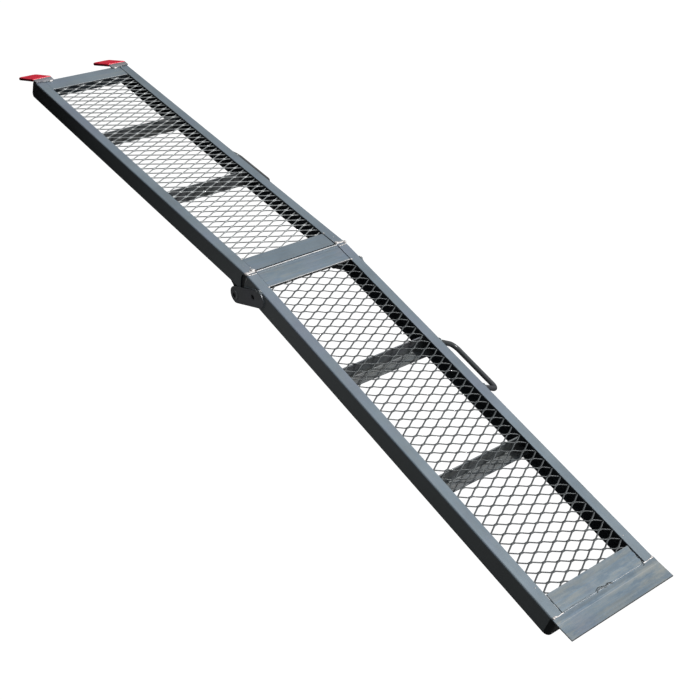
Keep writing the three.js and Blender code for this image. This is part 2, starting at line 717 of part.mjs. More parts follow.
// the solid becomes a mesh whose y runs from the deck centreline
function add(to, name, piece, material, mirrored = false) {
  const { vertProperties, triVerts } = piece.getMesh();
  const indexed = new THREE.BufferGeometry();
  indexed.setAttribute("position", new THREE.BufferAttribute(new Float32Array(vertProperties), 3));
  indexed.setIndex(new THREE.BufferAttribute(new Uint32Array(triVerts), 1));
  const geometry = indexed.toNonIndexed().translate(0, -WIDTH / 2, 0);
  geometry.computeVertexNormals();
  const mesh = new THREE.Mesh(geometry, material);
  mesh.name = name;
  if (mirrored) mesh.scale.y = -1;
  to.add(mesh);
}
function pair(to, name, piece, material) {
  add(to, name + "_near", piece, material);
  add(to, name + "_far", piece, material, true);
}

const upperMesh = meshPanel(
  -UPPER_LENGTH + END_PLATE - MESH_MARGIN,
  -UPPER_JOINT_PLATE + MESH_MARGIN,
  UPPER_NODE,
);
const lowerMesh = meshPanel(
  LOWER_JOINT_PLATE - MESH_MARGIN,
  TOE_CROSS_START + MESH_MARGIN,
  LOWER_NODE,
);

pair(upper, "upper_rail", upperRail(), paint);
add(upper, "upper_end_crossmember", upperEndCrossmember(), paint);
add(upper, "upper_joint_crossmember", upperJointCrossmember(), paint);
add(upper, "upper_crossbar_outer", crossbar(UPPER_BAR_X.outer, -1), darkPaint);
add(upper, "upper_crossbar_inner", crossbar(UPPER_BAR_X.inner, -1), darkPaint);
add(upper, "upper_mesh", upperMesh, meshPaint);
pair(upper, "hook_plate", hookPlate(), paint);
pair(upper, "hook_coating", hookCoating(), red);
add(upper, "upper_handle", handle(UPPER_HANDLE), darkPaint);
pair(upper, "upper_hinge_lug", hingeLug(), darkPaint);
pair(upper, "pivot_bolt", pivotBolt(), zinc);
pair(upper, "pivot_spacer", ring(SPACER_OD, SPACER_Y, SPACER_THICK), zinc);
pair(upper, "pivot_washer", ring(WASHER_OD, WASHER_Y, WASHER_THICK), zinc);
pair(upper, "pivot_nut", pivotNut(), zinc);

pair(lower, "lower_rail", lowerRail(), paint);
add(lower, "lower_joint_crossmember", lowerJointCrossmember(), paint);
add(lower, "lower_end_crossmember", lowerEndCrossmember(), paint);
add(lower, "lower_end_skirt", lowerEndSkirt(), darkPaint);
add(lower, "toe_plate", toePlate(), paint);
add(lower, "lower_crossbar_inner", crossbar(LOWER_BAR_X.inner, 1), darkPaint);
add(lower, "lower_crossbar_outer", crossbar(LOWER_BAR_X.outer, 1), darkPaint);
add(lower, "lower_mesh", lowerMesh, meshPaint);
add(lower, "lower_handle", handle(LOWER_HANDLE), darkPaint);
pair(lower, "lower_hinge_arm", hingeArm(), paint);

export default group;
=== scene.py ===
# A hinged two-section ramp: channel rails, expanded-metal decks, carry handles on the far rail,
# red-dipped hooks at the upper end and a toe plate at the lower end.
# Row frame (m): x runs along the ramp, upper section at -x and lower at +x; y from the near
# rail to the far rail; z up. Pieces are drawn in millimetres in one of two section frames:
# x downhill from the joint line, y from the near web, z up from the deck.
import json
import math

import bmesh
import bpy
import numpy as np
from mathutils import Matrix, Vector


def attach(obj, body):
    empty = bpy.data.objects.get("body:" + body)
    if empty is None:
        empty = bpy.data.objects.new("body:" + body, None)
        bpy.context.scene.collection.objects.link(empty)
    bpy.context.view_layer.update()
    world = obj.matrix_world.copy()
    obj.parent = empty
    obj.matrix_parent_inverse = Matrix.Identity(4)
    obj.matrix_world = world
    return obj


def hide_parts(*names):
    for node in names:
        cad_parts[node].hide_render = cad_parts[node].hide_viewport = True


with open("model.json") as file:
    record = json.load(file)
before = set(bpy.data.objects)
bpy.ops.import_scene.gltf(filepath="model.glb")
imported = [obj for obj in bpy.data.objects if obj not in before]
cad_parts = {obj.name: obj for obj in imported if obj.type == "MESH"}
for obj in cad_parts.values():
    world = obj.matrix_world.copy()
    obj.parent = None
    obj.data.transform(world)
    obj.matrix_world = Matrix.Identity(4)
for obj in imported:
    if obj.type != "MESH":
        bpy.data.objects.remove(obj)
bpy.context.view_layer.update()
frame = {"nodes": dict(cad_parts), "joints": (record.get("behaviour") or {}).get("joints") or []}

NODES = frame["nodes"]
MM = 0.001
X, Y, Z = 0, 1, 2
SIDES = ("near", "far")
UP = (0, 0, 1)
OUT = (0, -1, 0)  # out of the near web

# ---- section frames ----
WIDTH = 305.0
UPPER_PITCH = math.radians(3.777)
LOWER_PITCH = math.radians(7.69 - 3.777)
TILT = {"upper": UPPER_PITCH, "lower": -LOWER_PITCH}
BODY = {"upper": "upper_section", "lower": "lower_section"}
PIVOT_X, PIVOT_Z = -24.5, -81.5  # the hinge axis in the lower section's frame


def turned(x, z, angle):
    """x and z of a point after the section's tilt."""
    c, s = math.cos(angle), math.sin(angle)
    return x * c - z * s, x * s + z * c


PIVOT = Vector(frame["joints"][0]["pos_m"]) / MM
_pivot_dx, _pivot_dz = turned(PIVOT_X, PIVOT_Z, TILT["lower"])
JOINT = Vector((PIVOT.x - _pivot_dx, PIVOT.y - WIDTH / 2, PIVOT.z - _pivot_dz))


def to_row(points, section):
    """Section-frame points in mm as row-frame points in metres."""
    p = np.asarray(points, float).reshape(-1, 3)
    x, z = turned(p[:, 0], p[:, 2], TILT[section])
    return np.stack([x + JOINT.x, p[:, 1] + JOINT.y, z + JOINT.z], 1) * MM


# ---- mesh helpers ----
def make_piece(name, parts, section, material):
    """One smooth object from (vertices, faces) parts in a section frame."""
    verts, faces, count = [], [], 0
    for part_verts, part_faces in parts:
        verts.append(part_verts)
        faces += [tuple(i + count for i in face) for face in part_faces]
        count += len(part_verts)
    mesh = bpy.data.meshes.new(name)
    mesh.from_pydata([tuple(v) for v in to_row(np.concatenate(verts), section)], [], faces)
    mesh.validate()
    bm = bmesh.new()
    bm.from_mesh(mesh)
    bmesh.ops.remove_doubles(bm, verts=bm.verts, dist=1e-6)
    bmesh.ops.recalc_face_normals(bm, faces=bm.faces)
    bm.to_mesh(mesh)
    bm.free()
    mesh.polygons.foreach_set("use_smooth", [True] * len(mesh.polygons))
    piece = bpy.data.objects.new(name, mesh)
    bpy.context.scene.collection.objects.link(piece)
    mesh.materials.append(material)
    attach(piece, BODY[section])
    return piece


def sweep(rings, loop=False):
    """Skin rings of shape (stations, sides, 3); capped, or joined end to start if loop."""
    rings = np.asarray(rings, float)
    m, n = rings.shape[:2]
    faces = []
    for k in range(m if loop else m - 1):
        after = (k + 1) % m
        for i in range(n):
            j = (i + 1) % n
            faces.append([k * n + i, k * n + j, after * n + j, after * n + i])
    if not loop:
        faces.append(list(range(n))[::-1])
        faces.append([(m - 1) * n + i for i in range(n)])
    return rings.reshape(-1, 3), faces


def unit(a):
    return a / np.maximum(np.linalg.norm(a, axis=-1, keepdims=True), 1e-12)


def across(points, side):
    """Near-side points, mirrored over the ramp's middle for the far side."""
    points = np.array(points, float)
    if side == "far":
        points[..., Y] = WIDTH - points[..., Y]
    return points


def hash_noise(t, seed):
    """Smooth repeatable one-dimensional noise in -1..1."""
    t = np.asarray(t, float)
    i = np.floor(t).astype(int)
    f = t - i
    f = f * f * (3 - 2 * f)

    def value(k):
        return np.modf(np.abs(np.sin(k * 12.9898 + seed * 78.233) * 43758.5453))[0] * 2 - 1

    return value(i) * (1 - f) + value(i + 1) * f


# ---- node graphs ----
class Graph:
    """The node tree of a material or world, with shorthands that return output sockets."""

    def __init__(self, owner, output="ShaderNodeOutputMaterial", coords="Object"):
        owner.use_nodes = True
        self.owner = owner
        self.tree = owner.node_tree
        self.tree.nodes.clear()
        self.out = self.node(output)
        self.co = self.node("ShaderNodeTexCoord").outputs[coords]

    def node(self, kind, inputs=None, **props):
        n = self.tree.nodes.new(kind)
        for key, value in props.items():
            setattr(n, key, value)
        for key, value in (inputs or {}).items():
            self.put(n.inputs[key], value)
        return n

    def put(self, socket, value):
        if isinstance(value, bpy.types.NodeSocket):
            self.tree.links.new(value, socket)
        else:
            if socket.type == "RGBA" and len(value) == 3:
                value = (*value, 1)
            socket.default_value = value

    def surface(self, shader):
        self.put(self.out.inputs["Surface"], shader)

    def stretch(self, scale):
        return self.node("ShaderNodeMapping", {"Vector": self.co, "Scale": scale}).outputs[0]

    def noise(self, scale, detail=4, rough=0.55, vec=None):
        return self.node("ShaderNodeTexNoise", {
            "Vector": vec or self.co, "Scale": scale, "Detail": detail, "Roughness": rough,
        }).outputs["Fac"]

    def voronoi(self, scale):
        n = self.node("ShaderNodeTexVoronoi", {"Vector": self.co, "Scale": scale})
        return n.outputs["Distance"]

    def ramp(self, fac, stops):
        """stops: (position, grey level or colour)."""
        n = self.node("ShaderNodeValToRGB", {"Fac": fac})
        elements = n.color_ramp.elements
        while len(elements) < len(stops):
            elements.new(0.5)
        for element, (position, c) in zip(elements, stops):
            element.position = position
            element.color = (c, c, c, 1) if isinstance(c, (int, float)) else (*c, 1)
        return n.outputs["Color"]

    def math(self, op, a, b=0.0):
        return self.node("ShaderNodeMath", {0: a, 1: b}, operation=op).outputs[0]

    def times(self, a, b):
        return self.math("MULTIPLY", a, b)

    def mix(self, fac, a, b):
        return self.node("ShaderNodeMix", {0: fac, 6: a, 7: b}, data_type="RGBA").outputs[2]

    def remap(self, value, span, to=(0.0, 1.0)):
        """The span's two ends become the two values of to; clamped outside."""
        inputs = dict(enumerate((value, *span, *to)))
        return self.node("ShaderNodeMapRange", inputs, clamp=True).outputs[0]

    def xyz(self, vec):
        return self.node("ShaderNodeSeparateXYZ", {0: vec}).outputs

    def rounded(self, radius):
        """Normal with edges rounded to a radius in metres."""
        return self.node("ShaderNodeBevel", {"Radius": radius}, samples=4).outputs[0]

    def edge(self, rounded, span):
        """1 along outside and inside edges, 0 on flat faces."""
        normal = self.node("ShaderNodeNewGeometry").outputs["Normal"]
        dot = self.node("ShaderNodeVectorMath", {0: rounded, 1: normal}, operation="DOT_PRODUCT")
        return self.remap(self.math("SUBTRACT", 1.0, dot.outputs["Value"]), span)

    def bump(self, height, strength, distance, normal=None):
        inputs = {"Strength": strength, "Distance": distance, "Height": height}
        if normal is not None:
            inputs["Normal"] = normal
        return self.node("ShaderNodeBump", inputs).outputs[0]

    def section(self, section):
        """x, y and z of the section frame, in mm, as three sockets."""
        angle = TILT[section]
        x, z = turned(JOINT.x, JOINT.z, -angle)
        return self.xyz(self.node("ShaderNodeMapping", {
            "Vector": self.co, "Rotation": (0, angle, 0),
            "Location": (-x, -JOINT.y, -z), "Scale": (1 / MM,) * 3,
        }).outputs[0])

    def near(self, value, centre, half, soft):
        """1 within half of centre, falling to 0 over soft."""
        distance = self.math("ABSOLUTE", self.math("SUBTRACT", value, centre))
        return self.remap(distance, (half, half + soft), to=(1.0, 0.0))

    def principled(self, **inputs):
        inputs = {key.replace("_", " "): value for key, value in inputs.items()}
        self.surface(self.node("ShaderNodeBsdfPrincipled", inputs).outputs[0])


def new_material(name):
    return Graph(bpy.data.materials.new(name))


def tone(base, factor):
    """A colour times a number or an RGB triple, no brighter than 1."""
    return tuple(np.minimum(np.array(base) * np.array(factor), 1))


# ---- sheet-steel paint ----
GRAIN_SCALE = {"x": (2.2, 150, 150), "y": (190, 3.0, 190)}  # noise scale: low along the grain
FLAKE_SCALE = {"x": (14, 60, 60), "y": (60, 14, 60)}


def coat_colour(m, base, mottle, streaks, grain, streak, warm, blotch):
    """Mottled coat with streaks, scuffs and specks; the last three arguments are strengths."""
    def grain_noise(finer, detail, rough):
        scale = tuple(a * finer for a in GRAIN_SCALE[grain])
        return m.noise(1.0, detail, rough, m.stretch(scale))

    col = m.ramp(mottle, [(0.3, tone(base, 0.80)), (0.5, base), (0.72, tone(base, 1.17))])
    # bluish streaks, beige patches, thin pale lines
    blue, beige = tone(base, (0.86, 1.0, 1.16)), tone(base, (1.30, 1.14, 0.94))
    col = m.mix(m.remap(streaks, (0.42, 0.66), to=(0, streak)), col, blue)
    patch = m.times(m.remap(grain_noise(0.22, detail=3, rough=0.5), (0.5, 0.68)),
                    m.remap(m.noise(14, detail=4, rough=0.6), (0.45, 0.62)))
    col = m.mix(m.times(patch, warm), col, beige)
    lines = grain_noise(3.2, detail=2, rough=0.5)
    col = m.mix(m.remap(lines, (0.62, 0.72), to=(0, 0.30 * streak)), col, tone(base, 1.9))
    # scuffed patches, drawn out along the grain
    scuff = grain_noise(0.10, detail=6, rough=0.65)
    col = m.mix(m.remap(scuff, (0.50, 0.62), to=(0, blotch)), col, tone(base, 0.66))
    pale = m.remap(scuff, (0.48, 0.38), to=(0, blotch * 0.8))
    col = m.mix(pale, col, tone(base, (1.5, 1.34, 1.18)))
    # small warm and cold flakes on the most worn plates
    if blotch > 0.2:
        flake = m.noise(1.0, detail=8, rough=0.74, vec=m.stretch(FLAKE_SCALE[grain]))
        zone = m.remap(m.noise(4.5, detail=3, rough=0.5), (0.40, 0.58), to=(0.35, 1.0))
        warm_flake = m.times(m.remap(flake, (0.50, 0.60), to=(0, blotch)), zone)
        col = m.mix(warm_flake, col, tone(base, (1.62, 1.36, 1.10)))
        cold_flake = m.remap(flake, (0.485, 0.40), to=(0, blotch))
        col = m.mix(cold_flake, col, tone(base, (0.62, 0.74, 0.88)))
    # broad violet tint, then clusters of pale specks
    tint = m.remap(m.noise(5.5, detail=3, rough=0.5), (0.5, 0.66), to=(0, 0.35))
    col = m.mix(tint, col, tone(base, (1.02, 0.90, 1.12)))
    specks = m.times(m.remap(m.voronoi(260), (0.0, 0.10), to=(0.55, 0.0)),
                     m.remap(m.noise(30, detail=3, rough=0.5), (0.52, 0.6)))
    return m.mix(specks, col, tone(base, 2.1))


def add_bands(m, col, bands):
    """Soft bands on the top skin, used for painted highlights, painted shade lines and plain tone:
    (section, axis, centre, half, soft, strength, colour).
    """
    for section, axis, centre, half, soft, strength, colour in bands:
        xyz = m.section(section)
        band = m.times(m.near(xyz[axis], centre, half, soft), m.remap(xyz[Z], (-1.2, -0.4)))
        patchy = m.remap(m.noise(45, detail=5, rough=0.7), (0.30, 0.55),
                         to=(strength * 0.35, strength))
        col = m.mix(m.times(band, patchy), col, colour)
    return col


def add_boxes(m, col, mottle, boxes):
    """Sharp-edged regions of painted shade: (section, ((axis, low, high), ...), strength, colour).
    """
    for section, limits, strength, colour in boxes:
        xyz = m.section(section)
        inside = strength
        for axis, low, high in limits:
            inside = m.times(inside, m.math("GREATER_THAN", xyz[axis], low))
            inside = m.times(inside, m.math("LESS_THAN", xyz[axis], high))
        uneven = m.remap(mottle, (0.3, 0.7), to=(0.85, 1.0))
        col = m.mix(m.times(inside, uneven), col, colour)
    return col


def paint(name, base, grain, streak=0.5, warm=0.35, metallic=0.25, rough=0.46, wear=0.35,
          blotch=0.15, bands=(), boxes=()):
    """Semi-gloss coat on sheet steel. grain is the direction of the rolling streaks."""
    m = new_material(name)
    mottle = m.noise(9, detail=5, rough=0.6)
    streaks = m.noise(1.0, detail=5, rough=0.6, vec=m.stretch(GRAIN_SCALE[grain]))
    col = coat_colour(m, base, mottle, streaks, grain, streak, warm, blotch)
    # pale worn edges
    rounded = m.rounded(0.0012)
    worn = m.times(m.edge(rounded, (0.02, 0.25)),
                   m.remap(m.noise(55, detail=5, rough=0.65), (0.42, 0.58)))
    worn = m.times(worn, wear)
    col = m.mix(worn, col, tone(base, 2.0))
    col = add_bands(m, col, bands)
    col = add_boxes(m, col, mottle, boxes)
    # roughness varies with the mottling and drops on worn edges
    fine = m.noise(120, detail=4, rough=0.6)
    gloss = m.math("ADD", rough - 0.10, m.times(m.math("ADD", fine, mottle), 0.10))
    gloss = m.math("SUBTRACT", gloss, m.times(worn, 0.12))
    # fine orange peel and streaks, then the broad mottling
    peel = m.math("ADD", m.times(m.noise(700, detail=2, rough=0.5), 0.6), m.times(streaks, 0.5))
    normal = m.bump(peel, strength=0.22, distance=0.00012, normal=rounded)
    normal = m.bump(mottle, strength=0.25, distance=0.0012, normal=normal)
    m.principled(Base_Color=col, Metallic=metallic, Roughness=gloss, Normal=normal,
                 Coat_Weight=0.12, Coat_Roughness=0.25)
    return m.owner


# ---- other materials ----
def strand_paint(name, base):
    m = new_material(name)
    mottle = m.noise(60, detail=4, rough=0.6)
    col = m.ramp(mottle, [(0.32, tone(base, 0.72)), (0.52, base), (0.75, tone(base, 1.35))])
    rounded = m.rounded(0.0006)
    rub = m.times(m.edge(rounded, (0.03, 0.3)),
                  m.remap(m.noise(35, detail=5, rough=0.65), (0.38, 0.6), to=(0.15, 0.75)))
    col = m.mix(rub, col, tone(base, 2.1))
    grit = m.noise(900, detail=3, rough=0.6)
    m.principled(Base_Color=col, Metallic=0.35, Coat_Weight=0.1,
                 Roughness=m.remap(mottle, (0.3, 0.7), to=(0.36, 0.5)),
                 Normal=m.bump(grit, strength=0.25, distance=0.0001, normal=rounded))
    return m.owner


def vinyl(name):
    m = new_material(name)
    mottle = m.noise(70, detail=4, rough=0.6)
    col = m.ramp(mottle, [(0.3, (0.86, 0.022, 0.052)), (0.55, (0.94, 0.030, 0.070)),
                          (0.8, (0.98, 0.048, 0.092))])
    # faint pale scuffs, in patches
    scratches = m.noise(1, detail=4, rough=0.6, vec=m.stretch((60, 500, 60)))
    patches = m.remap(m.noise(40, detail=3, rough=0.5), (0.5, 0.62), to=(0, 0.18))
    col = m.mix(m.times(m.remap(scratches, (0.62, 0.72)), patches), col, (0.80, 0.16, 0.18))
    height = m.math("ADD", m.times(m.noise(120, detail=3, rough=0.5), 0.7),
                    m.times(m.noise(900, detail=2, rough=0.5), 0.2))
    m.principled(Base_Color=col, Roughness=m.remap(mottle, (0.3, 0.7), to=(0.36, 0.5)),
                 Normal=m.bump(height, strength=0.05, distance=0.0005),
                 Coat_Weight=0.25, Coat_Roughness=0.2,
                 Subsurface_Weight=0.08, Subsurface_Radius=(0.004, 0.001, 0.001))
    return m.owner


def zinc(name):
    m = new_material(name)
    mottle = m.noise(160, detail=4, rough=0.6)
    col = m.ramp(mottle, [(0.3, (0.24, 0.25, 0.25)), (0.55, (0.40, 0.41, 0.41)),
                          (0.8, (0.56, 0.56, 0.54))])
    spangle = m.remap(m.voronoi(420), (0.1, 0.5), to=(0.0, 0.3))
    col = m.mix(spangle, col, (0.5, 0.51, 0.53))
    normal = m.bump(mottle, strength=0.3, distance=0.0002, normal=m.rounded(0.0006))
    m.principled(Base_Color=col, Metallic=0.85, Normal=normal,
                 Roughness=m.remap(mottle, (0.3, 0.7), to=(0.3, 0.5)))
    return m.owner


def weld(name, base):
    m = new_material(name)
    mottle = m.noise(260, detail=4, rough=0.65)
    col = m.ramp(mottle, [(0.3, tone(base, 0.5)), (0.5, base), (0.72, tone(base, 1.9))])
    rounded = m.rounded(0.0008)
    col = m.mix(m.times(m.edge(rounded, (0.02, 0.3)), 0.5), col, (0.62, 0.62, 0.62))
    m.principled(Base_Color=col, Metallic=0.45,
                 Roughness=m.remap(mottle, (0.3, 0.7), to=(0.34, 0.55)),
                 Normal=m.bump(mottle, strength=0.5, distance=0.0004, normal=rounded))
    return m.owner


GREY = (0.205, 0.250, 0.285)
SHADED_WEB_GREY = (0.215, 0.228, 0.225)
PALE = (0.66, 0.65, 0.65)
SHADE = (0.012, 0.013, 0.014)

RAIL = {section: paint(section + "_rail_paint", GREY, "x", streak=0.35, warm=0.22, boxes=(
    # painted shade inside the channels: their inner faces and bottom flanges darkened near black
    # under the deck
    (section, ((Y, 1.2, WIDTH - 1.2), (Z, -54.6, -2.7)), 0.9, (0.02, 0.022, 0.024)),
    # painted shade on the webs' outer faces: a darker, more neutral grey than the top flanges, for
    # sides that face away from the light
    (section, ((Y, -1, 0.4), (Z, -56, -3.5)), 0.85, SHADED_WEB_GREY),
    (section, ((Y, WIDTH - 0.4, WIDTH + 1), (Z, -56, -3.5)), 0.85, SHADED_WEB_GREY),
)) for section in ("upper", "lower")}
PLATE = paint("plate_paint", GREY, "y", streak=0.6, warm=0.45, boxes=(
    # painted shade: the plate's downhill end and the leg under it, in the slot at the joint, near
    # black
    ("upper", ((X, -10.2, 5),), 1.0, SHADE),
))
JOINT_PLATE = paint("joint_plate_paint", GREY, "y", streak=0.95, warm=0.6, blotch=0.3, bands=(
    # painted highlight along the raised ridge, partly rubbed-bare metal
    ("lower", X, -2.2, 1.7, 0.7, 1.0, (0.58, 0.575, 0.58)),
    # painted highlight along the plate's bent downhill edge
    ("lower", X, 55.2, 0.7, 0.8, 0.9, PALE),
    # painted shade line just downhill of the ridge
    ("lower", X, 7.5, 0.5, 1.2, 0.35, (0.06, 0.07, 0.08)),
), boxes=(
    # painted shade on the end face under the plate's downhill edge, and in the gap and on the legs
    # below the joint line
    ("lower", ((X, 55.5, 60), (Z, -10, -0.9)), 1.0, SHADE),
    ("lower", ((X, -5, 20), (Z, -40, -0.4)), 1.0, SHADE),
))
END_PLATE = paint("end_plate_paint", GREY, "y", streak=0.5, warm=0.4, bands=(
    # painted highlight along the plate's downhill edge
    ("upper", X, -1060.6, 0.6, 0.8, 0.7, PALE),
))
TOE = paint("toe_paint", (0.205, 0.245, 0.272), "y", streak=1.0, warm=1.0, wear=0.7,
            blotch=0.7, bands=(
    # painted highlight along the bend line
    ("lower", X, 1107.6, 0.5, 0.6, 0.45, (0.43, 0.45, 0.47)),
    ("lower", X, 1098.0, 3.0, 2.5, 0.45, (0.10, 0.14, 0.18)),
), boxes=(
    # painted shade on the toe lip's end face and along its far edge
    ("lower", ((X, 1146.9, 1160),), 1.0, SHADE),
    ("lower", ((X, 1108, 1160), (Y, 304.1, 320)), 0.8, SHADE),
))
# near-black coat on the toe skirt and the hinge lugs: dark paint, darkened further as painted
# shade
BLACK_AND_SHADE = paint("skirt_dark_paint_and_shade", (0.022, 0.026, 0.028), "y", streak=0.3, warm=0.2, rough=0.30,
              wear=0.2)
CROSS = paint("crossbar_paint", (0.17, 0.18, 0.18), "y", streak=0.7, warm=0.5, wear=0.6)
BAR = paint("bar_paint", (0.085, 0.09, 0.092), "x", streak=0.3, warm=0.1, rough=0.36, wear=0.4)
ARM = paint("arm_paint", (0.21, 0.22, 0.225), "x", streak=0.3, warm=0.2, wear=0.5)
# one strand paint in two copies: the upper one lighter as painted light, the lower one darker as
# painted shade
STRAND = {
    "upper": strand_paint("upper_mesh_paint_lit", (0.30, 0.315, 0.32)),
    "lower": strand_paint("lower_mesh_paint_shaded", (0.125, 0.135, 0.14)),
}
RED = vinyl("red_vinyl")
ZINC = zinc("zinc_steel")
WELD = weld("weld_metal", (0.68, 0.65, 0.64))
WELD_PAINTED = weld("weld_under_paint", (0.22, 0.25, 0.27))
WELD_FINE = weld("fine_bead", (0.36, 0.38, 0.40))
WELD_DULL = weld("dull_bead", (0.13, 0.145, 0.155))
TONGUE = paint("tongue_paint", (0.34, 0.335, 0.345), "y", streak=0.4, warm=0.4, wear=0.5,
               metallic=0.35)
# near-black linings stand in for the shade inside the arm's open hole and the bolt's socket
HOLE_SHADE = weld("hole_painted_shade", (0.006, 0.006, 0.007))
# near-black weld material: dark weld burn, and painted shade in crevices and seams
BURN_AND_SHADE = weld("weld_burn_and_shade", (0.018, 0.019, 0.020))

# ---- CAD nodes that stay: edge rounding (mm), material, nodes; * stands for each side ----
CAD_FINISH = (
    (0.9, RAIL["upper"], "upper_rail_*"),
    (0.9, RAIL["lower"], "lower_rail_*"),
    (0.9, END_PLATE, "upper_end_crossmember"),
    (0.9, PLATE, "upper_joint_crossmember"),
    (0.9, JOINT_PLATE, "lower_joint_crossmember"),
    (0.9, TOE, "lower_end_crossmember"),
    (0.5, TOE, "toe_plate"),
    (0.5, TONGUE, "hook_plate_*"),
    (0.5, CROSS, "upper_crossbar_outer upper_crossbar_inner"),
    (0.5, CROSS, "lower_crossbar_inner lower_crossbar_outer"),
    (0.5, BLACK_AND_SHADE, "lower_end_skirt upper_hinge_lug_*"),
    (0.5, ARM, "lower_hinge_arm_*"),
    (0.25, ZINC, "pivot_bolt_* pivot_spacer_* pivot_washer_* pivot_nut_*"),
)


def finish_cad(node, material, edge_width):
    piece = NODES[node]
    mesh = piece.data
    if "custom_normal" in mesh.attributes:
        mesh.attributes.remove(mesh.attributes["custom_normal"])
    mesh.polygons.foreach_set("use_smooth", [True] * len(mesh.polygons))
    mesh.materials.clear()
    mesh.materials.append(material)
    mesh.polygons.foreach_set("material_index", [0] * len(mesh.polygons))
    merge = piece.modifiers.new("weld", "WELD")
    merge.merge_threshold = 2e-6
    planes = piece.modifiers.new("planes", "DECIMATE")
    planes.decimate_type = "DISSOLVE"
    planes.angle_limit = math.radians(0.4)
    bevel = piece.modifiers.new("edges", "BEVEL")
    bevel.width = edge_width * MM
    bevel.segments = 3
    bevel.limit_method = "ANGLE"
    bevel.angle_limit = math.radians(35)
    bevel.use_clamp_overlap = True
    normals = piece.modifiers.new("normals", "WEIGHTED_NORMAL")
    normals.keep_sharp = True


for edge_width, material, names in CAD_FINISH:
    for pattern in names.split():
        for side in SIDES if "*" in pattern else ("",):
            finish_cad(pattern.replace("*", side), material, edge_width)

# ---- expanded-metal decks: tilted zigzag strands, joined side by side at the bonds ----
DIAMOND_X, DIAMOND_Y = 27.0, 56.2  # pitch of the openings
STRAND_TILT = math.radians(36)
STRAND_CORNER = 0.42
MESH_Y0, MESH_Y1, MESH_MID_Z = 17.0, 288.0, -5.1
MESH_STEPS = 84
BOND_OVERLAP = 0.12


def zigzag():
    """Phase 0..1 and offset -1..1 of one period, with flats at the bonds and rounded turns."""
    phase = np.linspace(0, 1, 561)[:-1]
    wave = np.clip((1 - 4 * np.abs(phase - np.round(phase))) * 1.46, -1, 1)
    kernel = np.hanning(37)
    kernel /= kernel.sum()
    pad = 60
    wave = np.convolve(np.concatenate([wave[-pad:], wave, wave[:pad]]), kernel, "same")[pad:-pad]
    wave /= np.abs(wave).max()
    return np.append(phase, 1.0), np.append(wave, wave[0])


def deck(section, x0, x1, bond, width, thick, lean, seed):
    """Strands from x0 to x1; bond is the (x, y) of one bond, lean the sign of their tilt."""
    bond_x, bond_y = bond
    half_x, half_y = DIAMOND_X / 2, DIAMOND_Y / 2
    phase, wave = zigzag()
    flat = np.array([math.cos(STRAND_TILT), 0, lean * math.sin(STRAND_TILT)])
    a, b, r = width / 2, thick / 2, STRAND_CORNER
    profile = [(a, b - r), (a - r, b), (-a + r, b), (-a, b - r),
               (-a, -b + r), (-a + r, -b), (a - r, -b), (a, -b + r)]
    y = np.arange(MESH_Y0, MESH_Y1 + 0.01, (MESH_Y1 - MESH_Y0) / MESH_STEPS)
    strands = []
    for q in range(math.ceil((x0 - bond_x) / half_x), math.floor((x1 - bond_x) / half_x)):
        x = bond_x + (q + 0.5) * half_x
        # offset +1 is where this strand meets the next one downhill
        start = bond_y + ((q + 1) % 2) * half_y
        zig = np.interp(((y - start) / DIAMOND_Y) % 1.0, phase, wave)
        pull = -zig * (a - BOND_OVERLAP)
        wobble = 0.10 * hash_noise(y / 19.0, q * 1.7 + seed)
        path = np.stack([x + zig * half_x / 2 + pull * flat[0] + wobble, y,
                         MESH_MID_Z + pull * flat[2]], 1)
        along = unit(np.gradient(path, axis=0))
        wide = unit(flat - (along @ flat)[:, None] * along)
        deep = np.cross(wide, along)
        strands.append(sweep(np.stack([path + wide * w + deep * d for w, d in profile], 1)))
    piece = make_piece(section + "_deck_expanded_metal", strands, section, STRAND[section])
    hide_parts(section + "_mesh")


# the panels are mounted as mirror images, so their strands lean opposite ways
deck("upper", -1069, -54, bond=(-231.4, 148.4), width=2.7, thick=1.8, lean=-1, seed=3)
deck("lower", 47, 1052, bond=(198.9, 141.0), width=3.5, thick=2.35, lean=1, seed=9)

# ---- carry handles: round bar that droops outward from the far web ----
HANDLE_REACH, HANDLE_HALF = 69.0, 82.0
BEND_R, BAR_R = 20.0, 12.7 / 2
DROOP = math.radians(31.5)
COS_DROOP, SIN_DROOP = math.cos(DROOP), math.sin(DROOP)


def handle_path(mid):
    """(x, distance out along the droop) of the bar's centre line."""
    x1, x2 = mid - HANDLE_HALF, mid + HANDLE_HALF
    leg = HANDLE_REACH - BEND_R
    bend = np.linspace(0, math.pi / 2, 15)
    path = [(x1, w) for w in np.linspace(0, leg, 7)[:-1]]
    path += [(x1 + BEND_R - BEND_R * math.cos(a), leg + BEND_R * math.sin(a)) for a in bend]
    path += [(x, HANDLE_REACH) for x in np.linspace(x1 + BEND_R, x2 - BEND_R, 12)[1:-1]]
    path += [(x2 - BEND_R + BEND_R * math.sin(a), leg + BEND_R * math.cos(a)) for a in bend]
    path += [(x2, w) for w in np.linspace(leg, 0, 7)[1:]]
    return np.array(path)


def handle_bar(mid, z0):
    path = handle_path(mid)
    rings = []
    for k, ((x, w), (tx, tw)) in enumerate(zip(path, unit(np.gradient(path, axis=0)))):
        ring = []
        for i in range(32):
            a = i / 32 * 2 * math.pi
            sideways, height = BAR_R * math.cos(a), BAR_R * math.sin(a)
            reach = w + sideways * tx
            if k in (0, len(path) - 1):
                reach = -height * math.tan(DROOP)  # the feet lie flat on the web
            ring.append((x - sideways * tw,
                         WIDTH + 0.2 + reach * COS_DROOP + height * SIN_DROOP,
                         z0 - reach * SIN_DROOP + height * COS_DROOP))
        rings.append(ring)
    return sweep(rings)


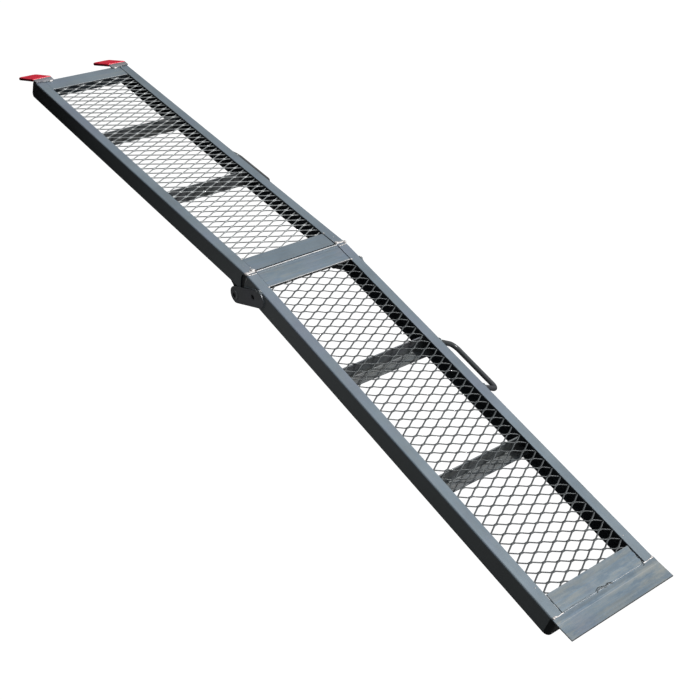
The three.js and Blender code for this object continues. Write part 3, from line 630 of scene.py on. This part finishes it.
def foot_fillet(x, z0, seed):
    """Lumpy ring of weld round a handle's foot."""
    around, sides = 40, 9
    r = BAR_R + 0.4
    rings = []
    for i in range(around):
        a = i / around * 2 * math.pi
        lump = 1 + 0.16 * math.sin(a * 17) + 0.14 * float(hash_noise(i * 0.6, seed))
        centre = np.array([x + r * math.cos(a), WIDTH + 0.1, z0 + r * math.sin(a) / COS_DROOP])
        outward = np.array([math.cos(a), 0, math.sin(a)])
        ring = []
        for j in range(sides):
            b = j / sides * 2 * math.pi
            rise = np.array([0, 2.2 * lump * math.sin(b) + 0.6, 0])
            ring.append(centre + outward * 2.3 * lump * math.cos(b) + rise)
        rings.append(ring)
    rings = np.array(rings)
    rings[:, :, Y] = np.maximum(rings[:, :, Y], WIDTH - 0.4)
    return sweep(rings, loop=True)


def handle(section, mid, z0):
    name = section + "_carry_handle"
    bar = make_piece(name, [handle_bar(mid, z0)], section, BAR)
    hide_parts(section + "_handle")
    for foot, x in (("a", mid - HANDLE_HALF), ("b", mid + HANDLE_HALF)):
        make_piece(f"{name}_weld_{foot}", [foot_fillet(x, z0, seed=mid + x)], section,
                   WELD_PAINTED)


handle("upper", mid=-500, z0=-25)
handle("lower", mid=462.5, z0=-11)

# ---- dipped vinyl on the hooks: rounded all over, slightly swollen ----
HOOK_SLOPE = math.radians(21.5)
HOOK_X, HOOK_Z = -1128.3, 5.2  # where the slope starts
HOOK_THICK, HOOK_WIDTH, HOOK_LENGTH = 4.5, 56.0, 113.0
VINYL = 1.78  # thickness of the dip
SLEEVE_START = 3.0
TIP_CORNER, OPEN_CORNER = 12.8, 3.2
SLEEVE_EDGE = 3.0
SWELL_STEP = 6  # spacing of the points added on straight edges


def sleeve_outline(d0, d1, w0, w1):
    """Plan outline as (d down the slope, w across, and the outward normal's d and w)."""
    corners = []
    # centre d, centre w, radius, start angle
    for d, w, r, start in ((d0 + OPEN_CORNER, w0 + OPEN_CORNER, OPEN_CORNER, 180),
                           (d1 - TIP_CORNER, w0 + TIP_CORNER, TIP_CORNER, 270),
                           (d1 - TIP_CORNER, w1 - TIP_CORNER, TIP_CORNER, 0),
                           (d0 + OPEN_CORNER, w1 - OPEN_CORNER, OPEN_CORNER, 90)):
        for i in range(9):
            a = math.radians(start + 90 * i / 8)
            corners.append((d + r * math.cos(a), w + r * math.sin(a), math.cos(a), math.sin(a)))
    outline = []
    for i, p in enumerate(corners):
        q = corners[(i + 1) % len(corners)]
        outline.append(p)
        steps = math.hypot(q[0] - p[0], q[1] - p[1]) // SWELL_STEP
        for k in range(1, int(steps)):
            outline.append(tuple(a + (b - a) * (k / steps) for a, b in zip(p, q)))
    return outline


def sleeve_levels():
    """(inset from the outline, height off the hook's mid-plane), top to bottom."""
    half = HOOK_THICK / 2 + VINYL
    levels = [(SLEEVE_EDGE + 9.0, half), (SLEEVE_EDGE + 2.5, half)]
    for i in range(7):
        a = math.pi / 2 * i / 6
        levels.append((SLEEVE_EDGE - SLEEVE_EDGE * math.sin(a),
                       half - SLEEVE_EDGE + SLEEVE_EDGE * math.cos(a)))
    return levels + [(inset, -height) for inset, height in reversed(levels)]


def hook_sleeve(side, y0):
    c, s = math.cos(HOOK_SLOPE), math.sin(HOOK_SLOPE)
    d0, d1 = SLEEVE_START, HOOK_LENGTH + VINYL
    w0, w1 = -VINYL, HOOK_WIDTH + VINYL
    rings = []
    for inset, height in sleeve_levels():
        ring = []
        for d, w, normal_d, normal_w in sleeve_outline(d0, d1, w0, w1):
            lump = 0.3
            if inset <= SLEEVE_EDGE:
                lump += 0.7 * float(hash_noise((d + w * 1.7) / 23.0, 5.0))
            down = d - normal_d * min(inset, SLEEVE_EDGE)
            wide = w - normal_w * min(inset, SLEEVE_EDGE)
            if inset > SLEEVE_EDGE:
                down = min(max(down, d0 + inset), d1 - inset)
                wide = min(max(wide, w0 + inset), w1 - inset)
            off = height + (0.22 if height > 0 else -0.22) * lump - HOOK_THICK / 2
            ring.append((HOOK_X - down * c - off * s, y0 + wide, HOOK_Z - down * s + off * c))
        rings.append(ring)
    piece = make_piece("hook_sleeve_" + side, [sweep(rings)], "upper", RED)
    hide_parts("hook_coating_" + side)


hook_sleeve("near", 0.0)
hook_sleeve("far", WIDTH - HOOK_WIDTH)


# ---- weld shapes; up is the direction they stand out of the metal ----
def bead(path, up, width, height, seed, pitch=2.4):
    """A half-round bead along a path, rippled every pitch and tapered at both ends."""
    path = np.asarray(path, float)
    lengths = np.linalg.norm(np.diff(path, axis=0), axis=1)
    dist = np.concatenate([[0], np.cumsum(lengths)])
    total = dist[-1]
    t = np.linspace(0, total, max(8, int(total / (pitch / 5))))
    p = np.stack([np.interp(t, dist, path[:, k]) for k in range(3)], 1)
    along = unit(np.gradient(p, axis=0))
    up = np.asarray(up, float)
    rise = unit(up - (along @ up)[:, None] * along)
    sideways = np.cross(along, rise)
    ripple = np.abs(((t / pitch) % 1.0) - 0.15)
    end = np.clip(np.minimum(t, total - t) / (width * 0.45), 0, 1)
    end = np.sqrt(1 - (1 - end) ** 2)
    grow = 0.82 + 0.18 * hash_noise(t / (pitch * 1.7), seed) - 0.16 * ripple
    grow *= 0.12 + 0.88 * end
    sway = 0.16 * width * hash_noise(t / (pitch * 2.6), seed + 4)
    rings = []
    for j in range(11):
        a = math.pi * j / 10
        rings.append(p + sideways * ((math.cos(a) * width / 2) * grow + sway)[:, None]
                     + rise * ((math.sin(a) ** 0.8 * height) * grow)[:, None])
    rings.append(p + sideways * sway[:, None] - rise * 0.5)
    return sweep(np.stack(rings, 1))


def blob(centre, up, radius, seed, flat):
    """A lumpy drop of weld metal; flat scales its height. up is never near the x axis."""
    up = unit(np.asarray(up, float))
    a1 = unit(np.cross(up, (1.0, 0, 0)))
    a2 = np.cross(up, a1)
    rings = []
    for k in range(9):
        th = math.pi * (k + 0.02) / 8.04
        ring = []
        for i in range(18):
            ph = 2 * math.pi * i / 18
            r = radius * (1 + 0.14 * math.sin(3 * ph + seed)
                          + 0.10 * math.sin(5 * ph + 2.3 * seed + th * 3))
            ring.append(centre + (a1 * math.cos(ph) + a2 * math.sin(ph)) * r * math.sin(th)
                        + up * math.cos(th) * radius_height(r, flat))
        rings.append(ring)
    return sweep(rings)


def radius_height(r, flat):
    return r * flat


def cup(side, x, z, radius, y_out, y_in, dish):
    """A round lining from y_in to y_out, its outer face dished by dish."""
    stations = ((y_in, 0.2), (y_in, radius), (y_out, radius), (y_out, radius - 0.5),
                (y_out + dish, radius - 0.9), (y_out + dish, 0.15))
    angles = np.linspace(0, 2 * math.pi, 25)[:-1]
    rings = [[(x + r * math.cos(a), y, z + r * math.sin(a)) for a in angles]
             for y, r in stations]
    return sweep(across(rings, side))


def weld_piece(name, section, parts, material):
    make_piece(name, parts, section, material)


# ---- welds of one side, drawn for the near side ----
# piece: (name, section, material, shapes)
# shape: (bead, path, up, width, height, seed[, pitch]) or (blob, centre, up, radius, seed, flat)
def joint_welds(side):
    arc = [math.radians(a) for a in range(-60, 40, 8)]
    seam_seed = {"near": 2.0, "far": 5.0}[side]
    spatter = ((-62.5, 26.6, 2.4), (-37.5, 14.5, 1.2), (-18.0, 22.0, 1.6), (-24.5, 26.9, 1.5))
    return (
        ("joint_weld_lower_", "lower", WELD, [
            (bead, [(2.6, 2.5, 0.2), (3.0, 16, 0.2), (2.4, 27.5, 0.2)], UP, 3.4, 1.1, seam_seed),
            (blob, (56.5, 26.8, -0.4), UP, 3.0, 1.2, 0.4),
            (bead, [(1.6, 0.4, -6), (1.0, -0.2, -14), (0.4, -0.3, -22)], OUT, 2.2, 0.8, 7.7),
        ]),
        ("joint_weld_upper_", "upper", WELD, [
            (bead, [(-5.4, -0.6, -0.8), (-5.8, 6, 0.2), (-6.6, 15, 0.3), (-6.2, 28.6, 0.3)],
             UP, 9.6, 3.2, 4.1, 4.2),
            (bead, [(-12.5, 14, 0.0), (-10.5, 21, 0.2), (-11.5, 28, 0.0)], UP, 5.0, 1.6, 9.1, 3.0),
            (blob, (-10.4, 24.0, 0.9), UP, 6.2, 2.2, 0.5),
            (blob, (-5.6, 3.0, 0.4), UP, 5.6, 0.7, 0.55),
            *((blob, (x, y, 0.1), UP, r, k * 1.7, 0.5) for k, (x, y, r) in enumerate(spatter)),
        ]),
        # the hinge arm's upper edge, its rounded end at the deck, and round its downhill end
        ("arm_weld_", "lower", WELD_PAINTED, [
            (bead, [(-2, -0.6, -37), (14, -0.6, -27.5), (30, -0.6, -17.5), (45, -0.6, -8.6)],
             OUT, 5.2, 2.9, 6.0, 3.0),
            (blob, (60.5, -1.4, -2.4), (0, -0.6, 0.8), 4.6, 3.1, 0.62),
            (bead, [(52, -1.2, -4.0), (60, -1.4, -2.6), (68, -1.0, -5.0)],
             (0, -0.7, 0.7), 4.6, 2.4, 8.0),
            (bead, [(61.0 + 22.6 * math.cos(a), -0.4, -26.0 + 22.6 * math.sin(a)) for a in arc],
             OUT, 3.2, 1.6, 2.6),
        ]),
    )


END_WELDS = (
    ("arm_spot_weld_", "lower", WELD, [
        (blob, (59.5, -1.2, -0.6), (0, -0.4, 0.9), 2.6, 4.4, 0.6),
    ]),
    ("toe_weld_", "lower", WELD, [
        (bead, [(1091.6, 1.5, 0.1), (1091.0, 8, 0.2), (1092.2, 15, 0.0)], UP, 5.2, 1.7, 3.0, 3.0),
        (bead, [(1092.3, 14, 0.0), (1092.0, 33, 0.0)], UP, 3.0, 0.8, 3.9),
        (blob, (1091.4, 5.0, 0.4), UP, 3.4, 1.5, 0.45),
        (blob, (1020, 20.4, 0.0), UP, 1.5, 2.5, 0.5),
    ]),
    # round the inner end of the tongue
    ("tongue_weld_", "upper", WELD_FINE, [
        (bead, [(-1111.6, 22, 1.0), (-1111.4, 41, 1.0), (-1111.8, 54.5, 1.0)], UP, 4.6, 2.8, 2.8),
    ]),
    ("hook_weld_", "upper", WELD, [
        (blob, (-1110.4, 45.5, 0.8), UP, 6.0, 2.9, 0.5),
        (blob, (-1112.6, 24.4, 1.6), UP, 3.4, 0.9, 0.5),
    ]),
)


def add_side_welds(side, pieces):
    turn = (1, 1 if side == "near" else -1, 1)
    for name, section, material, shapes in pieces:
        parts = [shape(across(points, side), np.multiply(up, turn), *sizes)
                 for shape, points, up, *sizes in shapes]
        weld_piece(name + side, section, parts, material)


# the arm's open hole: distance from the pivot along the arm and square to it
ARM_SLOPE = math.radians(33)
HOLE_ALONG, HOLE_OFF = 79.5, 3.5


def hole_linings(side):
    """Black linings as painted shade: in the open hole in the hinge arm, and in the deep socket of
    the pivot bolt.
    """
    dx, dz = turned(HOLE_ALONG, HOLE_OFF, ARM_SLOPE)
    lining = cup(side, PIVOT_X + dx, PIVOT_Z + dz, radius=7.0, y_out=-0.9, y_in=2.3, dish=1.2)
    make_piece("arm_hole_lining_" + side, [lining], "lower", HOLE_SHADE)
    x, z = turned(PIVOT_X, PIVOT_Z, -(UPPER_PITCH + LOWER_PITCH))
    socket = cup(side, x + 0.6, z + 0.4, radius=7.9, y_out=-8.4, y_in=-7.0, dish=0.9)
    make_piece("pivot_socket_" + side, [socket], "upper", HOLE_SHADE)


for side in SIDES:
    add_side_welds(side, joint_welds(side))
    hole_linings(side)
    add_side_welds(side, END_WELDS)

# ---- beads across the lower section: (name, material, beads) ----
CROSS_BEADS = (
    # painted shade: a near-black bead in the crevice between the joint plate's edge and the mesh
    ("joint_plate_crevice_shade", BURN_AND_SHADE, [
        bead([(55.4, y, -6.0) for y in range(30, 278, 8)], UP, 4.0, 3.4, 3.3, 7.0),
    ]),
    # a fine bead closes the toe seam, smeared into a rough repair in the middle
    ("toe_seam_bead", WELD_FINE, [
        bead([(1092.1, y, 0.0) for y in range(34, 272, 7)], UP, 2.0, 0.7, 6.6, 4.5),
    ]),
    ("toe_seam_repair", WELD_DULL, [
        bead([(1093.6, 128, 0.1), (1090.4, 133, 0.2), (1088.8, 139, 0.2), (1090.8, 147, 0.2),
              (1092.8, 156, 0.2), (1090.0, 163, 0.2), (1091.6, 170, 0.2), (1094.6, 175, 0.1)],
             UP, 3.0, 1.2, 6.2, 3.6),
    ]),
    # dark lines along the toe seam's repair, beside the seam and along the far seam: weld burn and
    # painted shade
    ("toe_seam_burn_and_shade", BURN_AND_SHADE, [
        bead([(1090.6, 127, -0.1), (1087.6, 133, 0.0), (1086.0, 139, 0.0), (1088.0, 147, 0.0),
              (1090.0, 156, 0.0), (1087.4, 163, 0.0), (1089.0, 170, 0.0), (1092.0, 176, -0.1)],
             UP, 2.4, 0.6, 1.2, 5.0),
        bead([(1048, 273.6, -0.3), (1058, 272.4, 0.0), (1066, 274.2, -0.2), (1074, 271.4, 0.1),
              (1082, 273.4, -0.1), (1090, 270.6, 0.1), (1095.5, 271.6, 0.1), (1096.5, 266, 0.1)],
             UP, 2.2, 0.6, 3.4, 6.0),
        bead([(1089.9, y, -0.2) for y in range(31, 120, 8)], UP, 1.0, 0.35, 5.1, 6.0),
    ]),
)
for name, material, parts in CROSS_BEADS:
    weld_piece(name, "lower", parts, material)


# ---- crossbar tacks: along the rails' bottom flanges and up their webs ----
def crossbar_tacks(name, section, x, away):
    """x is the crossbar's place, away the sign of x away from the joint."""
    flange = [(x + away * 4, 12, -52.2), (x + away * 26, 12, -52.2)]
    web = [(x + away * 0.2, 4.2, -46), (x + away * 0.2, 4.2, -16)]
    parts = []
    for side in SIDES:
        parts.append(bead(across(flange, side), UP, 3.4, 1.6, seed=x * 0.1))
        parts.append(bead(across(web, side), (-away, 0.4, 0), 3.0, 1.4, seed=x * 0.13))
    weld_piece(name, section, parts, WELD_PAINTED)


for section, places, away in (("upper", (-773, -423), -1), ("lower", (350, 700), 1)):
    for k, x in enumerate(places):
        crossbar_tacks(f"{section}_crossbar_tacks_{k}", section, x, away)

# ---- stage: metres from here on ----
scene = bpy.context.scene


def stage_piece(name, mesh, material, z=0.0):
    """A stage object that the camera doesn't see directly."""
    piece = bpy.data.objects.new(name, mesh)
    piece.location = (0, 0, z)
    piece.visible_camera = False
    scene.collection.objects.link(piece)
    mesh.materials.append(material)


def floor_material():
    """White to camera rays; to other rays a dim diffuse, brightest under the joint."""
    m = new_material("floor_white")
    diffuse = m.node("ShaderNodeBsdfDiffuse", {"Color": (0.06, 0.06, 0.06)}).outputs[0]
    glow = m.node("ShaderNodeEmission", {"Color": (1, 1, 1), "Strength": 0.955}).outputs[0]
    seen = m.node("ShaderNodeAddShader", {0: diffuse, 1: glow}).outputs[0]
    level = m.ramp(m.remap(m.xyz(m.co)[X], (-1.4, 1.4)), [
        (0.0, 0.0), (0.22, 0.004), (0.36, 0.05), (0.49, 0.17), (0.60, 0.10), (0.78, 0.08),
        (1.0, 0.04)])
    bounce = m.node("ShaderNodeBsdfDiffuse", {"Color": level}).outputs[0]
    is_camera = m.node("ShaderNodeLightPath").outputs["Is Camera Ray"]
    m.surface(m.node("ShaderNodeMixShader", {0: is_camera, 1: bounce, 2: seen}).outputs[0])
    return m.owner


def add_floor():
    mesh = bpy.data.meshes.new("floor")
    bm = bmesh.new()
    bmesh.ops.create_grid(bm, x_segments=1, y_segments=1, size=40)
    bm.to_mesh(mesh)
    bm.free()
    # low enough for the folded section to swing above it
    stage_piece("floor", mesh, floor_material(), z=-0.16)


def add_world():
    """Plain white to the camera; light from overhead and the far side, dim on the near side."""
    world = bpy.data.worlds.new("studio")
    scene.world = world
    m = Graph(world, "ShaderNodeOutputWorld", "Generated")
    direction = m.xyz(m.co)
    strength = m.times(m.remap(direction[Z], (0.0, 0.9), to=(0.10, 0.85)),
                       m.remap(direction[Y], (-0.6, 0.7), to=(0.25, 1.25)))
    sky = m.node("ShaderNodeBackground", {"Color": (0.93, 0.97, 1.0), "Strength": strength})
    white = m.node("ShaderNodeBackground", {"Color": (1, 1, 1), "Strength": 1.05})
    is_camera = m.node("ShaderNodeLightPath").outputs["Is Camera Ray"]
    m.surface(m.node("ShaderNodeMixShader", {
        0: is_camera, 1: sky.outputs[0], 2: white.outputs[0]}).outputs[0])


def add_sun():
    sun = bpy.data.lights.new("key", "SUN")
    sun.energy = 2.1
    sun.angle = math.radians(3)
    sun.color = (1.0, 0.98, 0.95)
    towards_sun = Vector((0.30, 0.46, 1.0)).normalized()
    lamp = bpy.data.objects.new("key", sun)
    lamp.rotation_mode = "QUATERNION"
    lamp.rotation_quaternion = towards_sun.to_track_quat("Z", "Y")
    scene.collection.objects.link(lamp)


def add_flag():
    """A black flag beside the upper end keeps that end of the near rail dark."""
    x0, x1, y, z0, z1 = -2.4, -0.80, -0.36, -0.15, 0.9
    mesh = bpy.data.meshes.new("flag")
    mesh.from_pydata([(x0, y, z0), (x1, y, z0), (x1, y, z1), (x0, y, z1)], [], [(0, 1, 2, 3)])
    m = new_material("flag_cloth")
    cloth = m.ramp(m.noise(40, detail=3, rough=0.5), [(0.3, 0.004), (0.7, 0.008)])
    m.principled(Base_Color=cloth, Roughness=0.95)
    stage_piece("flag", mesh, m.owner)


def add_camera():
    lens = bpy.data.cameras.new("camera")
    lens.lens, lens.sensor_width = 60.36, 36.0
    lens.shift_x, lens.shift_y = -0.000221428571, 0.000378571429
    lens.clip_start, lens.clip_end = 0.05, 100
    place = Matrix.Translation((1.80331073, -1.55426625, 1.87724154))
    turn = Matrix((
        (0.60023283, -0.59557212, 0.5338674),
        (0.78486204, 0.31008092, -0.53650852),
        (0.15398742, 0.74104229, 0.6535627),
    ))
    camera = bpy.data.objects.new("camera", lens)
    camera.matrix_world = place @ turn.to_4x4()
    scene.collection.objects.link(camera)
    scene.camera = camera


add_floor()
add_world()
add_sun()
add_flag()
add_camera()
scene.view_settings.view_transform = "Standard"
scene.view_settings.look = "None"
